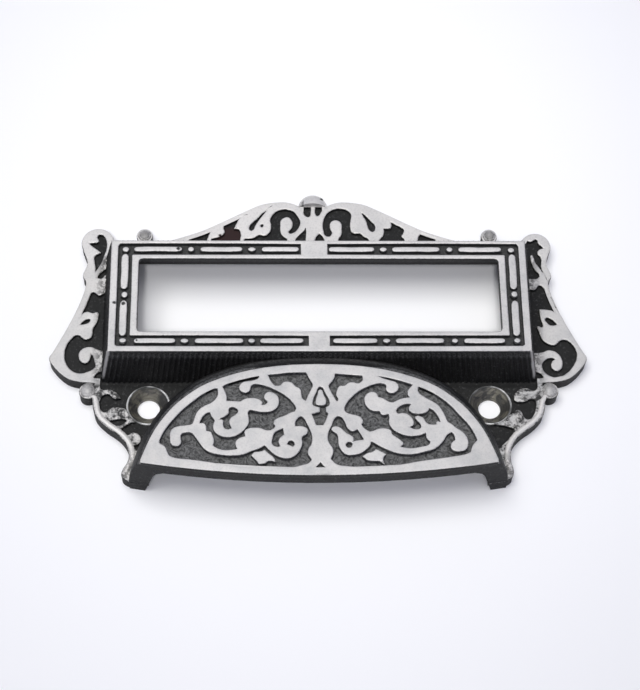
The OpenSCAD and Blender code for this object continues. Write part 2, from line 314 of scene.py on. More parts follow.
    # Brown tinge in one recess of the crest
    rust = ramp(tree, reachFrom(tree, x, y, -17, 36), 2.2 * mm, 3.2 * mm, 1.0, 0.0)
    ground = mixed(tree, rust, ground, (iron["rust"], iron["rust"] * 0.45,
                                        iron["rust"] * 0.45, 1))
    colour = mixed(tree, hood, ground, brushed)
    # Polish, with a painted reflection: brighter towards the crest, in broad soft patches, and on
    # the rolled rims of the wings
    silver = mixed(tree, ramp(tree, patches, 0.28, 0.6), grey(iron["silverDark"]),
                   grey(iron["silver"], 0.025))
    paintedReflection = calc(tree, "ADD", ramp(tree, y, 4 * mm, 34 * mm, 0.0, 0.6),
                 ramp(tree, noise(tree, coords, 75, 2), 0.38, 0.62, -0.15, 0.4))
    rolled = calc(tree, "MULTIPLY", band(tree, z, 3.1 * mm, 3.5 * mm, 0.03 * mm),
                  ramp(tree, y, 2 * mm, 4 * mm, 1.0, 0.0))
    paintedReflection = calc(tree, "MAXIMUM", paintedReflection, rolled, True)
    silver = mixed(tree, paintedReflection, silver, grey(iron["silverPaintedLit"], 0.03))
    colour = mixed(tree, polished, colour, silver)
    # Turning marks and stains in the countersinks, and their burrs
    rings = noise(tree, node(tree, "CombineXYZ", {0: reach, 1: z}).outputs[0], 3500, 2)
    bare = mixed(tree, rings, tuple(iron["turned"] * k for k in (0.3, 0.28, 0.22)) + (1,),
                 tuple(iron["turned"] * k for k in (1.4, 1.33, 1.12)) + (1,))
    bare = mixed(tree, ramp(tree, noise(tree, coords, 380, 2, 0.5, 1.2), 0.43, 0.57, 0.0, 0.85),
                 bare, grey(iron["turned"] * 0.3))
    colour = mixed(tree, turned, colour, bare)
    # Burrs: bare metal, their bright stretches partly a painted highlight ring round each
    # countersink
    burrStretches = ramp(tree, noise(tree, coords, 260, 2), 0.4, 0.6)
    colour = mixed(tree, burrs, colour, mixed(tree, burrStretches, grey(iron["burrDark"]),
                                              grey(iron["burrBright"])))
    tree.links.new(colour, shader.inputs["Base Color"])
    metal = calc(tree, "MULTIPLY", polished, ramp(tree, crown, 0.0, 1.0, 0.35, 0.2))
    metal = calc(tree, "MAXIMUM", metal, calc(tree, "MULTIPLY", turned, 0.85))
    tree.links.new(metal, shader.inputs["Metallic"])
    rough = ramp(tree, calc(tree, "MAXIMUM", polished, turned), 0.0, 1.0, iron["black"],
                 iron["polish"])
    rough = calc(tree, "ADD", rough, ramp(tree, grain, 0.3, 0.7, -0.06, 0.08))
    tree.links.new(rough, shader.inputs["Roughness"])
    # Relief of the cast grain, the brush marks and the mottling, softer where it is polished
    relief = calc(tree, "ADD", calc(tree, "MULTIPLY", grain, 0.6),
                  calc(tree, "MULTIPLY", patches, 0.5))
    for area, pattern, depth in ((hood, swirl, 1.2), (wing, lumps, 2.5)):
        marks = calc(tree, "MULTIPLY", calc(tree, "MULTIPLY", area, pattern), depth)
        relief = calc(tree, "ADD", relief, marks)
    relief = calc(tree, "MULTIPLY", relief, ramp(tree, polished, 0.0, 1.0, 1.0, 0.45))
    bump = node(tree, "Bump", {"Strength": iron["bumpStrength"], "Height": relief,
                               "Distance": iron["bumpDepth"] * mm})
    tree.links.new(bump.outputs[0], shader.inputs["Normal"])
    shader.inputs["Specular IOR Level"].default_value = iron["specular"]
    return material


castIron = makeCastIron()
for slot in casting.material_slots:
    slot.material = castIron
if not casting.material_slots:
    casting.data.materials.append(castIron)
print("materials made")


# Carving. Each outline is a list of points in millimetres; a third number marks a sharp corner

def addOutline(curve, points):
    spline = curve.splines.new("BEZIER")
    spline.bezier_points.add(len(points) - 1)
    for knot, p in zip(spline.bezier_points, points):
        knot.co = (p[0] * mm, p[1] * mm, 0)
        kind = "VECTOR" if len(p) == 3 else "AUTO"
        knot.handle_left_type = kind
        knot.handle_right_type = kind
    spline.use_cyclic_u = True
    spline.resolution_u = 4


def addLoop(curve, points):
    spline = curve.splines.new("POLY")
    spline.points.add(len(points) - 1)
    for knot, p in zip(spline.points, points):
        knot.co = (p.x, p.y, 0, 1)
    spline.use_cyclic_u = True


# The mesh that a curve fills or sweeps
def meshOf(curve):
    holder = bpy.data.objects.new(curve.name + "_flat", curve)
    bpy.context.scene.collection.objects.link(holder)
    solid = holder.evaluated_get(bpy.context.evaluated_depsgraph_get())
    mesh = bpy.data.meshes.new_from_object(solid)
    bpy.data.objects.remove(holder)
    return mesh


# Faces of the pull's carving that lie inside its rim, where the brushed ground runs up them
pocketWall = {"fromRim": 0.5, "above": 10, "steps": 12}


def markWalls(bm, rim):
    mark = bm.faces.layers.float.new("pocketWall")
    steps = pocketWall["steps"]
    nearest = KDTree(len(rim) * steps)
    for i, p in enumerate(rim):
        for k in range(steps):
            q = p.lerp(rim[i - 1], k / steps)
            nearest.insert((q.x, q.y, 0), i * steps + k)
    nearest.balance()
    for face in bm.faces:
        centre = face.calc_center_median()
        away = nearest.find((centre.x, centre.y, 0))[2]
        inside = away > pocketWall["fromRim"] * mm and centre.z > pocketWall["above"] * mm
        face[mark] = 1.0 if inside else 0.0


# A sheet of ornament with rounded edges: the rim and the outlines in turn bound metal and gaps
def carving(name, rim, outlines, relief):
    base, level, edge = relief["base"], relief["level"], relief["edge"]
    curve = bpy.data.curves.new(name, "CURVE")
    curve.dimensions = "2D"
    curve.fill_mode = "BOTH"
    if rim:
        addLoop(curve, rim)
    for points in outlines:
        addOutline(curve, points)
    curve.extrude = (level - base) / 2 * mm - edge * mm
    curve.bevel_depth = edge * mm
    curve.bevel_resolution = 3
    curve.offset = -edge * 0.75 * mm  # drawn in, as the rounding grows outwards
    mesh = meshOf(curve)
    mesh.transform(Matrix.Translation((0, 0, (level + base) / 2 * mm)))
    bm = bmesh.new()
    bm.from_mesh(mesh)
    if rim:
        markWalls(bm, rim)
    return closeUp(bm, name, castIron)


# The casting's own outline at the level that a relief names
def castRim(relief):
    return thinned(sectionLoop(relief["section"] * mm), relief["gap"] * mm)


crestPockets = [
    [(-24.9, 35.9, 1), (-20.8, 37.5, 1), (-21.4, 35.8), (-21.6, 34.2, 1), (-25.6, 34.2, 1)],
    [(-14.7, 40.9, 1), (-15.7, 40.6), (-16.8, 39.9), (-18, 39.2), (-18.3, 38.4), (-18.1, 37.3),
     (-19, 36.4), (-20.7, 35.9, 1), (-20.5, 34.2, 1), (-15, 34.2, 1), (-15, 35.8), (-14.9, 37),
     (-15.3, 38), (-16.2, 38.2, 1), (-15.7, 39.4), (-15.1, 40.6)],
    [(-9.7, 42.5, 1), (-10.7, 41.7), (-11.7, 40.5), (-12.8, 39.4), (-13.3, 38.4),
     (-13.1, 37.8), (-12.6, 37.8), (-12.1, 38.8), (-11.3, 40.2)],
    [(-10.6, 39.2), (-11.1, 38.8), (-10.8, 38.5), (-10.5, 38.8)],
    [(-14.2, 35.8), (-13.4, 35.9), (-12.2, 36.2), (-11.3, 36.8), (-10.3, 36.6), (-9.6, 37),
     (-9.1, 37.9), (-9, 39), (-9.2, 40), (-8.9, 41), (-8, 42.1), (-6.7, 42.6), (-5.5, 42.5),
     (-4.5, 42), (-3.8, 41), (-3.3, 39.8), (-3.4, 38.9), (-3.9, 37.9), (-4.7, 37.2),
     (-5.4, 37.1), (-5.6, 37.5), (-5.1, 38.1), (-4.8, 39.2), (-5, 40.1), (-5.7, 40.8),
     (-6.5, 40.6), (-7.1, 40), (-7.2, 38.7), (-7.1, 37.3), (-6.7, 36.5), (-5.9, 35.8),
     (-5.9, 34.2, 1), (-14, 34.2, 1)],
    [(-2.2, 38.6), (-2.8, 37.8), (-3.9, 36.6), (-4.5, 35.7), (-4.5, 34.2, 1), (-2, 34.2, 1),
     (-2, 35.8), (-1.95, 38)],
    [(0.4, 37.2, 1), (-0.4, 35.9), (-0.6, 34.2, 1), (1.4, 34.2, 1), (1.3, 35.9)],
    [(-3.2, 43.2, 1), (-2.4, 43.3), (-1.2, 43.3, 1), (-1.2, 41.9), (-1.5, 40.9), (-2.2, 41),
     (-2.7, 41.9)],
    [(-0.35, 43.3, 1), (0.8, 43.3), (1.9, 43.2, 1), (1, 42.2), (0.1, 41.1), (-0.25, 41.4)],
    [(1.1, 39), (1.3, 40.2), (1.85, 41.5), (2.8, 42.4), (4, 42.8), (5.3, 42.7), (6.2, 42.2),
     (6.7, 41.5), (6.7, 40.6), (6.5, 39.6), (6.5, 38.3), (6.8, 37.4), (7.4, 37.1), (8.4, 37.1),
     (9, 36.5), (10, 35.8), (10.2, 34.2, 1), (4.1, 34.2, 1), (4.15, 35.8), (4.7, 36.9),
     (4.8, 38.3), (4.7, 39.4), (4.15, 40), (3.4, 40.1), (2.75, 39.7), (2.5, 39), (2.6, 38.1),
     (2.9, 37.3), (2.7, 36.7), (2.3, 36.4), (1.5, 36.7), (1.3, 37.5)],
    [(8.7, 41.9, 1), (9.7, 41), (10.5, 40), (11.3, 39), (11.4, 38.3), (10.9, 37.5),
     (10.3, 37.8), (9.9, 38.7), (9.6, 40), (9.1, 41)],
    [(14.35, 39.8, 1), (15.3, 39.2), (16.3, 38.6), (17, 38), (16.8, 37.1), (16.5, 36.5),
     (17, 35.8), (17, 34.2, 1), (11.8, 34.2, 1), (12.2, 35.8), (12.8, 36.5), (13.05, 37.5),
     (13, 38.3, 1), (13.6, 38.2), (14.35, 38.3, 1), (14.6, 39)],
    [(20.3, 37), (21.1, 36.8), (23, 36, 1), (23.6, 34.2, 1), (19.4, 34.2, 1), (19.7, 36.1),
     (20, 36.8)],
]
earPockets = [
    [(-42.2, 36.8), (-42.8, 36.2), (-42.5, 35.2), (-44.4, 34.9, 1), (-43.7, 34.1),
     (-42.9, 33.5), (-42, 32.7, 1), (-43.2, 31.8), (-43.1, 30.6), (-42.9, 29.2),
     (-42.9, 28.3, 1), (-42.2, 29.5), (-41.6, 30.9), (-41.3, 32), (-40.9, 33.4), (-40.9, 35),
     (-41.4, 36.3)],
    [(-43.5, 18), (-44.3, 17.9), (-45.4, 16.8, 1), (-44.5, 16.9), (-43.5, 17.5)],
    [(43.8, 18.4), (43.4, 18), (43.8, 17.2), (44.4, 16.7), (45.7, 16.8, 1), (45.1, 17.6),
     (44.5, 18.1)],
]
wingSlot = [
    (-39.7, -3.5, 1), (-38.5, -3.3), (-36.4, -3.1), (-35.9, -3.4), (-36.3, -4), (-37.2, -4.5),
    (-38.3, -4.3), (-39, -3.8)]
# Ground round the frame, from its left end down to the pull and up again on the right
leftEarGround = [
    (-40, 31.2, 1), (-40, 29.8, 1), (-41.2, 28.8), (-42.2, 27.8), (-42.4, 27, 1), (-41.6, 26.9),
    (-41, 27.6), (-40, 28.2, 1), (-40, 24, 1), (-41.1, 23.6), (-42, 23.2), (-42.9, 23.9),
    (-43.5, 23.8, 1), (-44.3, 21.3), (-45.2, 18.8, 1), (-44.7, 19.4), (-44, 19.6), (-43, 19.3),
    (-42.1, 19.5), (-42, 18.2), (-42.3, 17.1), (-42.9, 15.9), (-42.95, 14.6), (-43.5, 13.8),
    (-44.4, 13.7), (-45.1, 14.3), (-45.8, 14.6), (-47, 13.6), (-47.8, 12), (-48, 10.2),
    (-47.5, 8.2), (-46.4, 6.9), (-45, 6.4), (-43.6, 6.7), (-42.4, 7.4), (-42, 8, 1), (-42.3, 9),
    (-42.6, 10), (-43, 10.7, 1), (-43.1, 9.9), (-43.4, 9), (-44.1, 8.6), (-44.9, 9),
    (-45.3, 10), (-45.1, 11.1), (-44.3, 11.8), (-43, 12), (-42, 11.5), (-41, 11.2),
    (-40, 11.3, 1), (-40, 6.9, 1)]
leftWingGround = [
    (-40.2, 6.8, 1), (-41.6, 6.6), (-42.4, 5.6, 1), (-41.6, 4.9), (-41.2, 3.8),
    (-40.9, 3.1), (-40.3, 2.9), (-39.3, 3), (-38.4, 2.6), (-37.5, 1.9),
    (-37.2, 1.2, 1), (-37.7, 1.1), (-38.5, 1.2), (-39, 1.8), (-39.6, 2.1), (-40.3, 1.9),
    (-40.9, 1.1), (-41, 0), (-40.8, -1.1), (-40.2, -1.7), (-39.6, -1.6), (-39, -0.9),
    (-38, -0.7), (-37, -0.8), (-36.2, -1, 1), (-35.8, -1.6), (-35.3, -2.6), (-34.4, -3.7, 1),
    (-35, -3.8), (-35.8, -4.3), (-36.6, -4.9), (-37.6, -5.2, 1), (-36.3, -5.9),
    (-35.5, -6.4, 1), (-34.5, -5.9), (-33.6, -6.3), (-33.15, -7.2), (-33.6, -8.2),
    (-34.6, -8.6, 1), (-34.1, -9.3), (-33.1, -10.3, 1), (-31.6, -9, 1), (-22, 2, 1)]
rightWingGround = [
    (22, 2, 1), (30.9, -9, 1), (32.5, -10.2, 1), (33.7, -8.7), (34.6, -7.8), (35.7, -6.5),
    (36.2, -5.2, 1), (34.9, -4.7), (33.5, -4.4), (32.2, -4.3, 1), (33.6, -3.9), (34.7, -3.2),
    (35.4, -2.4), (36.3, -1.9), (36.9, -1.3), (37.6, -1.6), (38, -2.5), (38.5, -3.2),
    (39.3, -3.2), (40, -2.4), (40.4, -1.2), (40.6, 0.1), (40.2, 0.9), (39.4, 1), (38.6, 0.5),
    (37.6, 0.4), (36.7, 0.6), (36.5, 1.5), (37, 2.4), (37.9, 3.1), (39.1, 3.2), (40.3, 2.7),
    (40.9, 3.1), (41.2, 3.8), (41.6, 4.9), (42.4, 5.6, 1), (41.6, 6.5),
    (40.2, 6.8, 1)]
rightEarGround = [
    (40, 10.7, 1), (41.7, 10.75), (42.6, 10.9), (43.5, 11.3), (44.4, 11.2), (45.4, 10.6),
    (46, 9.5), (46.1, 8.2), (45.7, 7.3), (44.9, 6.95), (44.1, 7.5), (43.95, 8.2), (44.2, 8.9),
    (44.8, 9.4, 1), (44.2, 9.7), (43.3, 9.5), (42.7, 9.1), (42.2, 8.4, 1), (42.25, 7.4),
    (42.8, 6.4), (43.7, 5.75), (45.1, 5.5), (46.7, 6.3), (48, 7.7), (48.8, 9.3), (49, 10.9),
    (48.5, 12.2), (47.8, 13.1), (46.9, 13.6), (46, 13.4), (45.3, 12.7), (44.9, 12.45),
    (43.7, 12.7), (42.8, 13.4), (42.3, 14.5), (42.1, 15.4), (41.9, 16.5), (42.8, 16.3),
    (42.7, 17.7), (42.5, 19), (42.5, 20.2, 1), (43.9, 20.1), (45.1, 19.8), (45.7, 19.3, 1),
    (45.3, 20.9), (44.6, 22.9), (43.8, 24.6), (42.9, 25.5), (42.5, 25.4), (42.1, 24.7),
    (41.7, 24.5), (40, 25, 1), (40, 27.2, 1), (41.8, 26.9), (42.8, 27.2), (42.9, 28),
    (42.2, 28.9), (41.7, 30.2), (41.5, 31.5), (41.7, 32.3), (42, 31.9), (42.3, 30.6),
    (42.9, 29.6), (43.8, 28, 1), (43.4, 29.9), (43.6, 30.9), (43.4, 31.9), (42.9, 32.5),
    (43.2, 33.4), (44.2, 33.8, 1), (43.2, 34.9), (42.9, 35.8), (41.7, 35.3), (40.9, 35.5),
    (40, 34.6, 1)]
frameGround = leftEarGround + leftWingGround + rightWingGround + rightEarGround

# Heights in millimetres; the gap is the least distance between two points of the rim
plateRelief = {"section": 2.9, "gap": 0.25, "base": 2.1, "level": 3.03, "edge": 0.3}
plateRim = castRim(plateRelief)
print("plate outline", len(plateRim), "points")
carving("plate_carving", plateRim, crestPockets + earPockets + [wingSlot, frameGround],
        plateRelief)

hoodPockets = [
    [(-18.9, -1.4, 1), (-19.9, -1.6), (-21.8, -2.8), (-23.6, -4.3), (-25.5, -6.1),
     (-26.8, -7.7), (-28.1, -9.5), (-28.9, -11.1), (-29.2, -12.2), (-29, -12.6, 1),
     (-28.2, -13.1), (-27.8, -14), (-27.4, -14.9, 1), (-26.5, -15.3), (-23.4, -15.7),
     (-20.2, -16.2), (-17, -16.8), (-13.9, -17.2), (-10.7, -17.3), (-7.6, -17.3), (-5, -17.2),
     (-3.6, -16.8), (-2.4, -16.4), (-1.85, -15.8, 1), (-2.1, -15.3), (-2.5, -14.6),
     (-2.4, -13.6), (-1.9, -12.7), (-1.75, -11.9), (-1.8, -10.8), (-2.1, -9.8), (-2.6, -8.7),
     (-3.2, -7.5), (-3.75, -7.1), (-4.3, -7.5), (-4.75, -8.3), (-4.75, -9.1, 1), (-3.9, -9.05),
     (-3, -9.3), (-2.5, -9.9), (-2.8, -10.7), (-3.4, -11.1), (-3.6, -11.5), (-3.5, -12.4),
     (-3.9, -13.7), (-4.7, -14.8), (-5.7, -15.4), (-7, -15.4), (-8.4, -14.8), (-9.4, -13.9),
     (-10.3, -12.9, 1), (-11.3, -13.5), (-12.8, -14.1), (-14.2, -14.7), (-16, -14.9),
     (-17.8, -14.8), (-19.7, -14.4), (-21, -13.7), (-22, -12.4), (-22.8, -11.2),
     (-23.5, -10.4), (-24.4, -10.3), (-25.3, -10.7), (-25.4, -11.4), (-25.3, -12.2),
     (-25.6, -12.8), (-26.4, -13), (-27.1, -12.6), (-27.3, -11.4), (-27.3, -10.3),
     (-26.8, -9.5), (-25.7, -9.05), (-24.4, -8.9), (-23.4, -8.6), (-23.1, -7.9),
     (-22.8, -6.9), (-22.2, -5.8), (-21.3, -5.05), (-19.9, -4.3), (-19.2, -3.6),
     (-18.8, -2.7), (-18.8, -2)],
    [(-12.7, -14.9, 1), (-12.2, -14.3), (-11, -14.1), (-10.3, -13.8, 1), (-9.7, -14.4),
     (-8.5, -15.6), (-8.4, -16.1, 1), (-9.7, -16), (-10.2, -16.4), (-11.3, -16.6, 1),
     (-11.9, -15.8)],
    [(-6.9, -9.5, 1), (-7.6, -9.8), (-8.5, -10.4), (-8.9, -11.6), (-8.9, -12.7),
     (-8.1, -13.2), (-7.5, -13.1, 1), (-7.8, -12.2), (-7.5, -11.4), (-6.8, -10.8, 1)],
    [(-6.3, -12.7, 1), (-5.8, -12), (-5.2, -12.1), (-4.9, -12.7), (-5.2, -13.2, 1)],
    [(-18, -1.05, 1), (-16.5, -0.2), (-14.95, 0.4), (-13.1, 0.9), (-11.3, 1.25, 1),
     (-11.4, 0.7), (-12.3, 0.2), (-13.6, 0), (-14.4, -0.3), (-14.9, -1.1), (-14.7, -1.9),
     (-13.9, -2.3), (-13.05, -1.9), (-12.8, -1.1), (-12.3, -0.6), (-11, -0.7), (-9.7, -1.1),
     (-8.1, -1.9), (-6.8, -2.7), (-5.7, -3.7), (-4.95, -4.7), (-4.6, -5.4), (-4.8, -6.1, 1),
     (-5.7, -6.4), (-6.5, -6.9), (-7.8, -7.4), (-8.5, -7.9), (-8.7, -8.6, 1), (-8.4, -9.1),
     (-9.2, -9.9, 1), (-10, -9.9), (-11, -9.5), (-12.3, -9.4), (-13.4, -9.6),
     (-13.9, -10.1), (-13.8, -11.1, 1), (-14.9, -11.5), (-15.5, -12.2), (-15.5, -12.9),
     (-15.2, -13.6, 1), (-16.3, -13.8), (-17.8, -13.8), (-19.1, -13.3), (-19.6, -12.9, 1),
     (-19.4, -12.2), (-19.6, -11.1), (-20, -10.2, 1), (-20.8, -10, 1), (-20.9, -9),
     (-21.3, -8.5), (-22.1, -8.5, 1), (-21.7, -7.5), (-21, -6.6), (-20.2, -6.2, 1),
     (-20, -6.9), (-19.5, -7.6), (-19.3, -8, 1), (-19.6, -9), (-19.4, -10), (-18.6, -10.8),
     (-17.6, -11.2), (-16.3, -11.2), (-15, -10.7), (-14, -9.8), (-13.2, -8.5), (-13.2, -7.2),
     (-13.3, -6.2), (-12.9, -5.8, 1), (-12, -6), (-11, -6.2), (-9.7, -6.2), (-8.6, -5.8),
     (-7.9, -5.05), (-7.7, -4), (-7.95, -3), (-8.8, -2.3), (-9.7, -2.2), (-10.3, -2.8),
     (-10.3, -3.6), (-9.8, -4.1), (-10.1, -4.7), (-10.9, -4.8, 1), (-10.7, -4.3),
     (-11, -3.9), (-11.8, -3.5), (-12.8, -3.4), (-13.9, -3.6), (-14.7, -4.1, 1),
     (-15.7, -4.05), (-17.2, -3.95, 1), (-17.2, -3), (-17.6, -1.9)],
    [(-16.5, -5.3), (-15.6, -5.4), (-15.1, -6), (-15.6, -6.8), (-16.4, -7.4), (-16.7, -8.3),
     (-16.2, -9.5, 1), (-17, -9.7), (-17.6, -9.4), (-17.8, -8.5), (-17.8, -7.9),
     (-18.6, -7.7, 1), (-17.4, -7), (-16.8, -6.4), (-16.8, -5.7)],
    [(-9.7, 1.35, 1), (-8.1, 1.5), (-6.5, 1.7), (-5, 1.8), (-2.7, 1.85, 1), (-2.4, 1.1),
     (-1.9, 0.1), (-1.5, -0.8), (-1.8, -1.6), (-2.3, -2.7), (-2.8, -4, 1), (-3.4, -3.5),
     (-3.6, -2.7), (-3.8, -1.6), (-4.7, -1), (-5.3, -0.3), (-6.3, -0.05), (-7, -0.3),
     (-7.4, -0.8), (-8.4, -0.9, 1), (-9, -0.2), (-9.4, 0.6)],
    [(-0.15, -1.1), (-0.9, -2.3), (-1.5, -3.9), (-1.5, -4.8), (-0.8, -5.2), (-0.3, -5.3, 1),
     (-0.3, -6.2, 1), (-1.8, -6.6, 1), (-1.4, -7.6), (-0.95, -8.9, 1), (0.3, -8.9, 1),
     (0.9, -7.6), (1.25, -6.5, 1), (0.85, -6.2, 1), (0.8, -5.3, 1), (1.4, -4.9), (1.5, -4.1),
     (0.85, -2.6)],
    [(-0.15, -1.7), (-0.7, -2.9), (-1, -4), (-0.9, -4.7), (-0.2, -4.9), (0.6, -4.8),
     (0.9, -4.2), (0.5, -2.9)],
    [(-0.3, -16.2, 1), (-1.3, -17.3, 1), (0.7, -17.3, 1)],
    [(2.6, 1.6, 1), (7.6, 1.2, 1), (7.6, 0.2), (7, -0.4, 1), (6.5, -0.4), (5.9, -0.2),
     (5.1, -0.3), (4.3, -0.9), (3.4, -1), (2.9, -1.9), (2.75, -2.8), (3.1, -3.8),
     (2.8, -4.1, 1), (2.2, -2.9), (1.6, -1.6), (1.4, -1), (2.1, 0.1), (2.5, 0.9)],
    [(10.4, 1.1, 1), (13.8, 0.35), (16.8, -0.7, 1), (16.4, -1.2), (15.9, -1.9), (15.8, -2.7),
     (16.2, -3.3, 1), (14.8, -3.5), (13.8, -3.9), (13, -4.3), (12.2, -4.1), (11.3, -3.5),
     (10.4, -3.2, 1), (10.2, -2.6), (9.6, -2.2), (8.8, -2.3), (8, -3.1), (7.9, -4.3),
     (8.4, -5.3), (9.3, -6), (10.6, -6.1, 1), (11, -6.8), (12.2, -6.6, 1), (12.3, -7.4),
     (12.2, -8.2), (12.7, -9.5), (13.8, -10.4), (15.4, -11), (16.9, -11.05), (18.3, -10.7),
     (18.9, -10.4, 1), (18.9, -11.4), (19.6, -12.2, 1), (19.3, -12.8), (18, -13.2),
     (16.4, -13.5), (15.1, -13.4), (14.1, -13.2, 1), (14.7, -12.6), (14.2, -11.9),
     (13.3, -11.2), (12.7, -10.7), (12.6, -10.1), (11.7, -9.6), (10.4, -9.6), (9.3, -10.05),
     (8.7, -10.2, 1), (7.7, -9.5), (7.2, -8.7, 1), (7.5, -8.3), (7.2, -7.4), (6.4, -6.95),
     (5.1, -6.6), (4.4, -6.2), (4.2, -5.6), (4.6, -4.5), (5.6, -3.2), (6.9, -2), (8.5, -1.1),
     (10.1, -0.5), (11.2, -0.45), (11.9, -0.8), (11.9, -1.8), (12.7, -2.4), (13.7, -2.1),
     (14.2, -1.2), (13.8, -0.3), (12.6, 0.2), (11.4, 0.6)],
    [(16.4, -4.6, 1), (15.1, -4.7), (14.05, -5.3), (13.6, -6.1), (13.9, -6.6, 1),
     (15.1, -6.5), (16.2, -7.2), (16.7, -8.2), (16.6, -8.9), (15.9, -9.3, 1), (16.9, -9.7),
     (17.9, -9.5), (18, -8.9), (17.3, -7.9), (17, -7.3), (17.5, -7, 1), (18.4, -7.4),
     (19, -8.4), (19.5, -8.7), (20.8, -8.8, 1), (20.9, -8.2), (21.6, -8.3, 1), (21.2, -7.2),
     (20.4, -6), (19.6, -5.4, 1), (19.4, -6), (18.5, -6.5), (17.3, -6.6), (16.2, -6.2),
     (15.9, -5.5)],
    [(18.1, -1), (19.6, -1.8), (21.2, -2.9), (23.3, -4.7), (25.1, -6.9), (26.7, -8.9),
     (27.7, -10.8), (28.1, -11.9, 1), (27.1, -13.2), (26.8, -14.3, 1), (25.9, -14.7),
     (23.3, -15.2), (20.1, -15.7), (16.9, -16.2), (13.8, -16.8), (10.6, -17), (7.5, -17.2),
     (4.3, -17), (2.7, -16.7), (1.55, -15.6, 1), (2, -14.4), (1.95, -13.5), (1.3, -12.4),
     (1.1, -11.4), (1.3, -10.1), (1.8, -9), (2.3, -7.7), (3, -7.1), (3.7, -7.4), (4.3, -8.5),
     (4.7, -9.5), (5.6, -10.1), (6.5, -9.7, 1), (7.1, -10.8), (7.6, -11.8, 1), (6.7, -11.9),
     (5.7, -12.1, 1), (5.7, -11.4), (5.2, -10.9), (4.5, -10.5), (3.9, -9.9), (3.2, -9.3),
     (2.4, -9.15), (1.8, -9.5), (2, -10.1), (2.7, -10.6), (2.95, -11.4), (3, -12.7),
     (3.5, -13.9), (4.3, -14.7), (5.6, -14.8), (6.9, -14.5), (8, -13.7), (8.7, -12.9),
     (8.9, -12.1, 1), (9.8, -12.7), (11.2, -13.5), (13, -14.3), (15.1, -14.7), (16.9, -14.6),
     (18.8, -14.1), (20.1, -13.7), (21.3, -12.8), (22.1, -11.8), (22.7, -10.8),
     (23.5, -10.3, 1), (23.9, -10.8), (24.1, -11.9, 1), (23.5, -12.4), (23.3, -13.5),
     (23.9, -14.05), (25.1, -14.1), (26, -13.7), (26.4, -12.7), (26.3, -11.5), (25.5, -10.3),
     (24.3, -9.4), (23.7, -8.8), (22.9, -8.2), (22.5, -7.2), (21.9, -5.8), (21.2, -4.8),
     (20.1, -4), (18.8, -3.2), (17.9, -2.4), (17.7, -1.6)],
    [(4.4, -12.5), (5.4, -12.4), (5.4, -13.1), (4.9, -13.4), (4.4, -13.1)],
    [(7.3, -15.1, 1), (8.1, -14.5), (9.3, -14.1), (9.7, -13.7, 1), (10.4, -14),
     (11.5, -14.7, 1), (11, -15.4), (11.1, -16.6, 1), (10.4, -16.1), (9.4, -16), (8.3, -15.9)],
]
pullRelief = {"section": 12, "gap": 0.3, "base": 11.1, "level": 12.33, "edge": 0.22}
hoodRim = castRim(pullRelief)
print("hood outline", len(hoodRim), "points")
carving("pull_carving", hoodRim, hoodPockets, pullRelief)
print("carving made")

# Rolled rim along the outer edge of each wing
roll = {"inset": 0.62, "radius": 0.62, "level": 2.88, "flatten": 0.6, "gap": 0.7,
        "beyond": 31.5, "from": -16.5, "to": 1.6}


# Turn is 1 where the run keeps the plate on its left, and -1 where it doesn't
def addRoll(bm, run, turn):
    curve = bpy.data.curves.new("roll", "CURVE")
    curve.dimensions = "3D"
    spline = curve.splines.new("POLY")
    run = thinned(run, roll["gap"] * mm)
    spline.points.add(len(run) - 1)
    last = len(run) - 1
    for i, p in enumerate(run):
        along = (run[min(i + 1, last)] - run[max(i - 1, 0)]).normalized()
        inward = Vector((-along.y, along.x, 0)) * turn
        place = p + inward * roll["inset"] * mm
        spline.points[i].co = (place.x, place.y, 0, 1)
        spline.points[i].radius = min(1.0, 0.3 + 0.25 * min(i, last - i))  # tapered ends
    curve.bevel_depth = roll["radius"] * mm
    curve.bevel_resolution = 3
    curve.use_fill_caps = True
    mesh = meshOf(curve)
    mesh.transform(Matrix.Translation((0, 0, roll["level"] * mm))
                   @ Matrix.Diagonal((1, 1, roll["flatten"], 1)))
    bm.from_mesh(mesh)


def makeRolls():
    top = max(range(len(plateRim)), key=lambda i: plateRim[i].y)
    loop = plateRim[top:] + plateRim[:top]
    area = sum(a.x * b.y - b.x * a.y for a, b in zip(loop, loop[1:] + loop[:1]))
    bm = bmesh.new()
    for side in (-1, 1):
        run = [Vector((p.x, p.y, 0)) for p in loop
               if p.x * side > roll["beyond"] * mm and roll["from"] * mm < p.y < roll["to"] * mm]
        addRoll(bm, run, 1 if area > 0 else -1)
    return closeUp(bm, "wing_rims", castIron)


makeRolls()
print("wing rims made")

# Mouldings of the frame's face: worn rims, bars and beads that cap the cast ones. The rows are
# the middle lines of the bars, and a bead is its place and half its width and height
moulding = {"base": 10.8, "level": 11.80, "edge": 0.26, "window": 34.0, "windowLow": 10.6,
            "windowTop": 26.3, "cornerFill": 0.8, "barWidth": 0.94, "sideBarWidth": 1.3,
            "topRow": 28.32, "lowRow": 8.7, "sideRow": 36.58}
topBars = [(-34.9, -25.9), (-22.4, -14.5), (-10.8, -3.8), (1.9, 10.5), (13.9, 22.9),
           (26.5, 34.6)]
lowBars = [(-34.4, -26.8), (-23.2, -14.2), (-11.1, -3.1), (2.4, 10.6), (14, 23), (26.7, 34.3)]
sideBars = [(9.75, 17.2), (19.7, 27.25)]
beads = [(-36.5, 28.25, 0.58, 0.50), (36.5, 28.2, 0.58, 0.47), (-36.5, 8.75, 0.62, 0.43),
         (36.6, 8.75, 0.58, 0.45), (-36.45, 18.45, 0.53, 0.59), (36.6, 18.6, 0.55, 0.59),
         (-24.2, 28.32, 0.53, 0.47), (-12.7, 28.32, 0.69, 0.40), (12.2, 28.32, 0.65, 0.41),
         (24.8, 28.32, 0.56, 0.45), (-25.1, 8.7, 0.70, 0.41), (-12.7, 8.7, 0.62, 0.41),
         (12.3, 8.7, 0.67, 0.40), (25.0, 8.7, 0.55, 0.40)]


